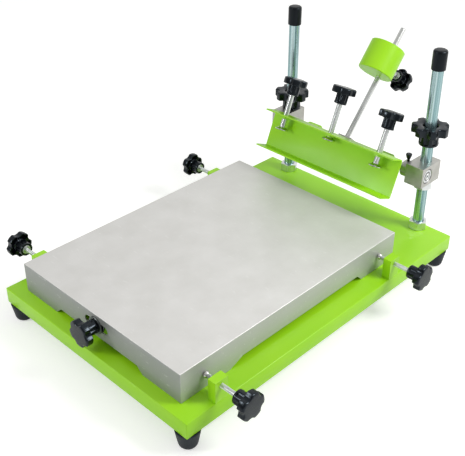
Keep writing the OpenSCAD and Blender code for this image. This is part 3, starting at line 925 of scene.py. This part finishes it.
# Painted shade: dark rings at the edge of the bearing's outer ring and between its shield and inner ring
for radius, reach, label in ((10.95, 6.5, "outer"), (6.6, 6.3, "inner")):
    painted_gap_shade = turned(
        [(radius, 5.6), (radius, reach), (radius - 0.5, reach + 0.1), (radius - 1, reach), (radius - 1, 5.6)],
        steps=64,
        closed=True,
    )
    make(f"dark_{label}_groove", painted_gap_shade, GAP_PAINTED_SHADE, "carriage", bearing_places)
make(
    "set_collar",
    solid_copy("lock_collar"),
    ALUMINIUM,
    "carriage",
    replaces=["lock_collar"],
    soft=0.5,
)

thumb = turned(
    [
        (0, 6.3),
        (2, 6.3),
        (2, 16),
        (2.5, 16),
        (3.1, 17.2),
        (4.1, 20.4),
        (4.5, 21.6),
        (4.5, 22.9),
        (4.1, 23.6),
        (3.2, 23.8),
        (0, 23.8),
    ],
    steps=48,
)
for vert in thumb.verts:
    out, angle = polar(vert)
    if out > 2.2 and 16.2 < vert.co.z < 22.6:
        set_radius(vert, out - 0.45 * (0.5 - 0.5 * math.cos(8 * angle)))
make(
    "thumb_screw",
    thumb,
    BLACK_NYLON,
    "lock_screw",
    [at(PRESS_X + POST_HALF - BLOCK_HALF_W - COLLAR_W / 2, PIVOT_Y, PIVOT_Z)],
    ["lock_screw"],
)

# Height knobs
for side in SIDES:
    place = at_height_knob(side)
    make(
        f"big_star_knob_{side}",
        height_knob_shape(),
        BLACK_NYLON,
        f"height_knob_{side}",
        [place @ turned_by(HEIGHT_KNOB_TURNS[side], "Z")],
        [f"height_knob_{side}"],
    )
    insert = turned(
        [(8.05, 0.6), (8.65, 0), (11.6, 0), (12, 0.4), (12, 13), (8.65, 13), (8.05, 12.4)],
        closed=True,
    )
    make(
        f"steel_insert_{side}",
        insert,
        BRIGHT_ZINC,
        f"height_insert_{side}",
        [place],
        [f"height_insert_{side}"],
    )

# Tilting arm
arm = solid_copy("clamp_channel", IN_ARM)


def outer_bend(edge):
    middle = (edge.verts[0].co + edge.verts[1].co) / 2
    at_flange = abs(middle.z) < NEAR or abs(middle.z + CHANNEL_H) < NEAR
    return abs(middle.y - CHANNEL_SHEET) < NEAR and at_flange


def inner_bend(edge):
    middle = (edge.verts[0].co + edge.verts[1].co) / 2
    at_flange = abs(middle.z + CHANNEL_SHEET) < NEAR or abs(middle.z + CHANNEL_H - CHANNEL_SHEET) < NEAR
    return abs(middle.y) < NEAR and at_flange


rounded(arm, outer_bend, 3)
rounded(arm, inner_bend, 1.2)
make("folded_channel", arm, LIME, "arm", [IN_ARM], ["clamp_channel"], soft=0.25)
for side in SIDES:
    make(
        f"hinge_lug_{side}",
        solid_copy(f"hinge_arm_{side}"),
        LIME,
        "arm",
        replaces=[f"hinge_arm_{side}"],
        soft=0.6,
    )
make(
    "green_weld_nuts",
    pressed_nut(BAR_NUT_AF, WELD_NUT_H, BAR_NUT_BORE, 0.4),
    LIME,
    "arm",
    [IN_ARM @ at(i * SCREW_SPACING, -SCREW_AHEAD, -CHANNEL_SHEET - WELD_NUT_H) for i in (-1, 0, 1)],
    ["weld_nuts"],
)
dress("pivot_shaft", POLISHED)
make(
    "socket_pins",
    solid_copy("pivot_pins"),
    BRIGHT_ZINC,
    "arm",
    replaces=["pivot_pins"],
    soft=0.3,
)
make(
    "rod_holder",
    solid_copy("rod_block"),
    ALUMINIUM,
    "arm",
    replaces=["rod_block"],
    soft=0.5,
)
make(
    "hex_jam_nut",
    pressed_nut(BAR_NUT_AF, JAM_NUT_H, BAR_NUT_BORE, 0.4),
    BRIGHT_ZINC,
    "arm",
    [IN_ROD @ at(0, -ROD_AHEAD, ROD_LOW + ROD_SHOW)],
    ["rod_jam_nut"],
)
make(
    "smooth_rod",
    drawn_bar(BAR_D / 2, ROD_TOP - ROD_LOW),
    DRAWN_STEEL,
    "arm",
    [IN_ROD @ at(0, -ROD_AHEAD, ROD_LOW)],
    ["counterweight_rod"],
)

# Clamp screws, their pads and knobs
pad = turned(
    [
        (0, 0),
        (9.6, 0),
        (10, 0.3),
        (10, 1.1),
        (9.7, 1.5),
        (9, 1.7),
        (7.2, 2.7),
        (5.9, 3.6),
        (5.5, 4),
        (5.3, 4.2),
        (4.05, 4.2),
        (4.05, 1.7),
        (0, 1.7),
    ],
    closed=True,
    steps=56,
)
pad_mesh = bpy.data.meshes.new("pad blank")
pad.to_mesh(pad_mesh)
pad.free()
for where in PAD_DROPS:
    place = at_clamp(where)
    one = bmesh.new()
    one.from_mesh(pad_mesh)
    pad_body = f"clamp_pad_{where}"
    make(f"round_pad_{where}", one, POLISHED, pad_body, [place], [pad_body])
    body = f"clamp_screw_{where}"
    make(
        f"long_clamp_screw_{where}",
        drawn_bar(BAR_D / 2, PAD_TO_KNOB + KNOB_BORE_DEPTH - PAD_SOCKET),
        SCREW_ZINC,
        body,
        [place @ at(z=PAD_SOCKET)],
        [f"clamp_screw_{where}"],
    )
    knob_place = place @ at(z=PAD_TO_KNOB) @ turned_by(CLAMP_KNOB_TURNS[where], "Z")
    make(
        f"clamp_star_knob_{where}",
        small_knob_shape(BAR_D),
        BLACK_NYLON,
        body,
        [knob_place],
        [f"clamp_knob_{where}"],
    )
    insert = knob_insert_shape(BAR_D)
    make(f"clamp_knob_insert_{where}", insert, INSERT_ZINC, body, [knob_place])
bpy.data.meshes.remove(pad_mesh)

# Counterweight
make(
    "turned_counterweight",
    solid_copy("counterweight"),
    LIME,
    "counterweight",
    replaces=["counterweight"],
    soft=0.4,
)
make(
    "long_set_screw",
    drawn_bar(BAR_D / 2, WEIGHT_KNOB_OUT + KNOB_BORE_DEPTH - SET_SCREW_IN),
    BRIGHT_ZINC,
    "counterweight_lock",
    [AT_SET_SCREW @ at(z=SET_SCREW_IN)],
    ["counterweight_screw"],
)
weight_knob_place = AT_SET_SCREW @ at(z=WEIGHT_KNOB_OUT) @ turned_by(WEIGHT_KNOB_TURN, "Z")
make(
    "weight_star_knob",
    small_knob_shape(BAR_D),
    BLACK_NYLON,
    "counterweight_lock",
    [weight_knob_place],
    ["counterweight_knob"],
)
make(
    "weight_knob_insert",
    knob_insert_shape(BAR_D),
    INSERT_ZINC,
    "counterweight_lock",
    [weight_knob_place],
)

# Studio

FLOOR_Z = -90.8
# How strongly the paper glows to the camera and in reflections
PAPER_SEEN, PAPER_MIRRORED = 0.45, 0.3
# The room in reflections: its level all round, and how it rises along x, y and z; then its level as light
ROOM_LEVEL, ROOM_RISE, ROOM_LIGHT = 0.62, (0.1, 0.42, 0.2), 0.5


def seen_directly(tree, ray):
    """1 for a ray that comes from the camera or through something clear, else 0."""
    rays = {0: ray.outputs["Is Camera Ray"], 1: ray.outputs["Is Transmission Ray"]}
    return add(tree, "ShaderNodeMath", rays, operation="MAXIMUM").outputs[0]


def studio_surface():
    """Matt white paper: white to the camera, dimmer in reflections, and it keeps the object's shadow."""
    material, tree = new_material("White paper sweep")
    ray = add(tree, "ShaderNodeLightPath")
    seen = seen_directly(tree, ray)
    lift = add(tree, "ShaderNodeMath", {0: seen, 1: PAPER_SEEN}, operation="MULTIPLY")
    lift = add(
        tree,
        "ShaderNodeMath",
        {0: ray.outputs["Is Glossy Ray"], 1: PAPER_MIRRORED, 2: lift.outputs[0]},
        operation="MULTIPLY_ADD",
    )
    fibre = mixed(tree, grain(tree, 1.5, 2), "#E6E6E4", "#EAEAE8")
    paper = add(tree, "ShaderNodeBsdfDiffuse", {"Color": fibre, "Roughness": 0.5})
    glow = add(tree, "ShaderNodeEmission", {"Strength": lift.outputs[0]})
    shader = add(tree, "ShaderNodeAddShader", {0: paper.outputs[0], 1: glow.outputs[0]})
    return finish_material(material, tree, shader)


sheet = bmesh.new()
bmesh.ops.create_grid(sheet, x_segments=2, y_segments=2, size=4)
bmesh.ops.translate(sheet, verts=sheet.verts, vec=(0, 0, FLOOR_Z * MM))
floor_mesh = bpy.data.meshes.new("floor")
sheet.to_mesh(floor_mesh)
sheet.free()
floor_mesh.materials.append(studio_surface())
floor = bpy.data.objects.new("floor", floor_mesh)
bpy.context.scene.collection.objects.link(floor)

world = bpy.data.worlds.new("Studio")
bpy.context.scene.world = world
world.use_nodes = True
sky = world.node_tree
sky.nodes.clear()
# White where the camera looks; in reflections the room is brightest at the back and above
ray = add(sky, "ShaderNodeLightPath")
seen = seen_directly(sky, ray)
way = add(sky, "ShaderNodeTexCoord")
slope = add(sky, "ShaderNodeVectorMath", {0: way.outputs["Generated"], 1: ROOM_RISE}, operation="DOT_PRODUCT")
room = add(
    sky, "ShaderNodeMath", {0: slope.outputs["Value"], 1: ROOM_LEVEL}, operation="ADD", use_clamp=True
)
level = add(
    sky,
    "ShaderNodeMix",
    {0: ray.outputs["Is Glossy Ray"], 2: ROOM_LIGHT, 3: room.outputs[0]},
    data_type="FLOAT",
)
level = add(sky, "ShaderNodeMix", {0: seen, 2: level.outputs[0], 3: 1.0}, data_type="FLOAT")
backdrop = add(sky, "ShaderNodeBackground", {"Color": (1, 1, 1, 1), "Strength": level.outputs[0]})
add(sky, "ShaderNodeOutputWorld", {"Surface": backdrop.outputs[0]})


def soft_light(name, place, aim, size, power):
    data = bpy.data.lights.new(name, "AREA")
    data.shape = "SQUARE"
    data.size = size
    data.energy = power
    lamp = bpy.data.objects.new(name, data)
    lamp.location = place
    lamp.rotation_mode = "QUATERNION"
    lamp.rotation_quaternion = (Vector(aim) - Vector(place)).to_track_quat("-Z", "Y")
    bpy.context.scene.collection.objects.link(lamp)


soft_light("key light", (0.95, 0.55, 0.95), (0, 0.05, 0), 0.45, 11.5)
soft_light("fill light", (-0.75, -1.35, 0.85), (0, 0, 0), 0.4, 9)

# The photograph's camera: its place, its turn and its middle, fitted to the object's straight edges
WIDTH, HEIGHT = 465, 456
FOCAL_PX, MIDDLE_X, MIDDLE_Y = 843.01, 246.33, 212.23
CAMERA_PLACE = (0.67436, -0.64800, 0.63112)
AZIMUTH, ELEVATION, ROLL = 43.620, 31.631, 0.537
azimuth, elevation, roll = (math.radians(angle) for angle in (AZIMUTH, ELEVATION, ROLL))
forward = Vector(
    (-math.sin(azimuth) * math.cos(elevation), math.cos(azimuth) * math.cos(elevation), -math.sin(elevation))
)
right = Vector((math.cos(azimuth), math.sin(azimuth), 0))
up = right.cross(forward)
right, up = (
    math.cos(roll) * right + math.sin(roll) * up,
    -math.sin(roll) * right + math.cos(roll) * up,
)
lens = bpy.data.cameras.new("camera")
lens.sensor_width = 36
lens.lens = FOCAL_PX * lens.sensor_width / WIDTH
lens.shift_x = (WIDTH / 2 - MIDDLE_X) / WIDTH
lens.shift_y = (MIDDLE_Y - HEIGHT / 2) / WIDTH
lens.clip_start = 0.05
lens.clip_end = 50
camera = bpy.data.objects.new("camera", lens)
camera_turn = Matrix((right, up, -forward)).transposed().to_4x4()
camera.matrix_world = Matrix.Translation(CAMERA_PLACE) @ camera_turn
bpy.context.scene.collection.objects.link(camera)
bpy.context.scene.camera = camera

bpy.context.scene.view_settings.view_transform = "Standard"
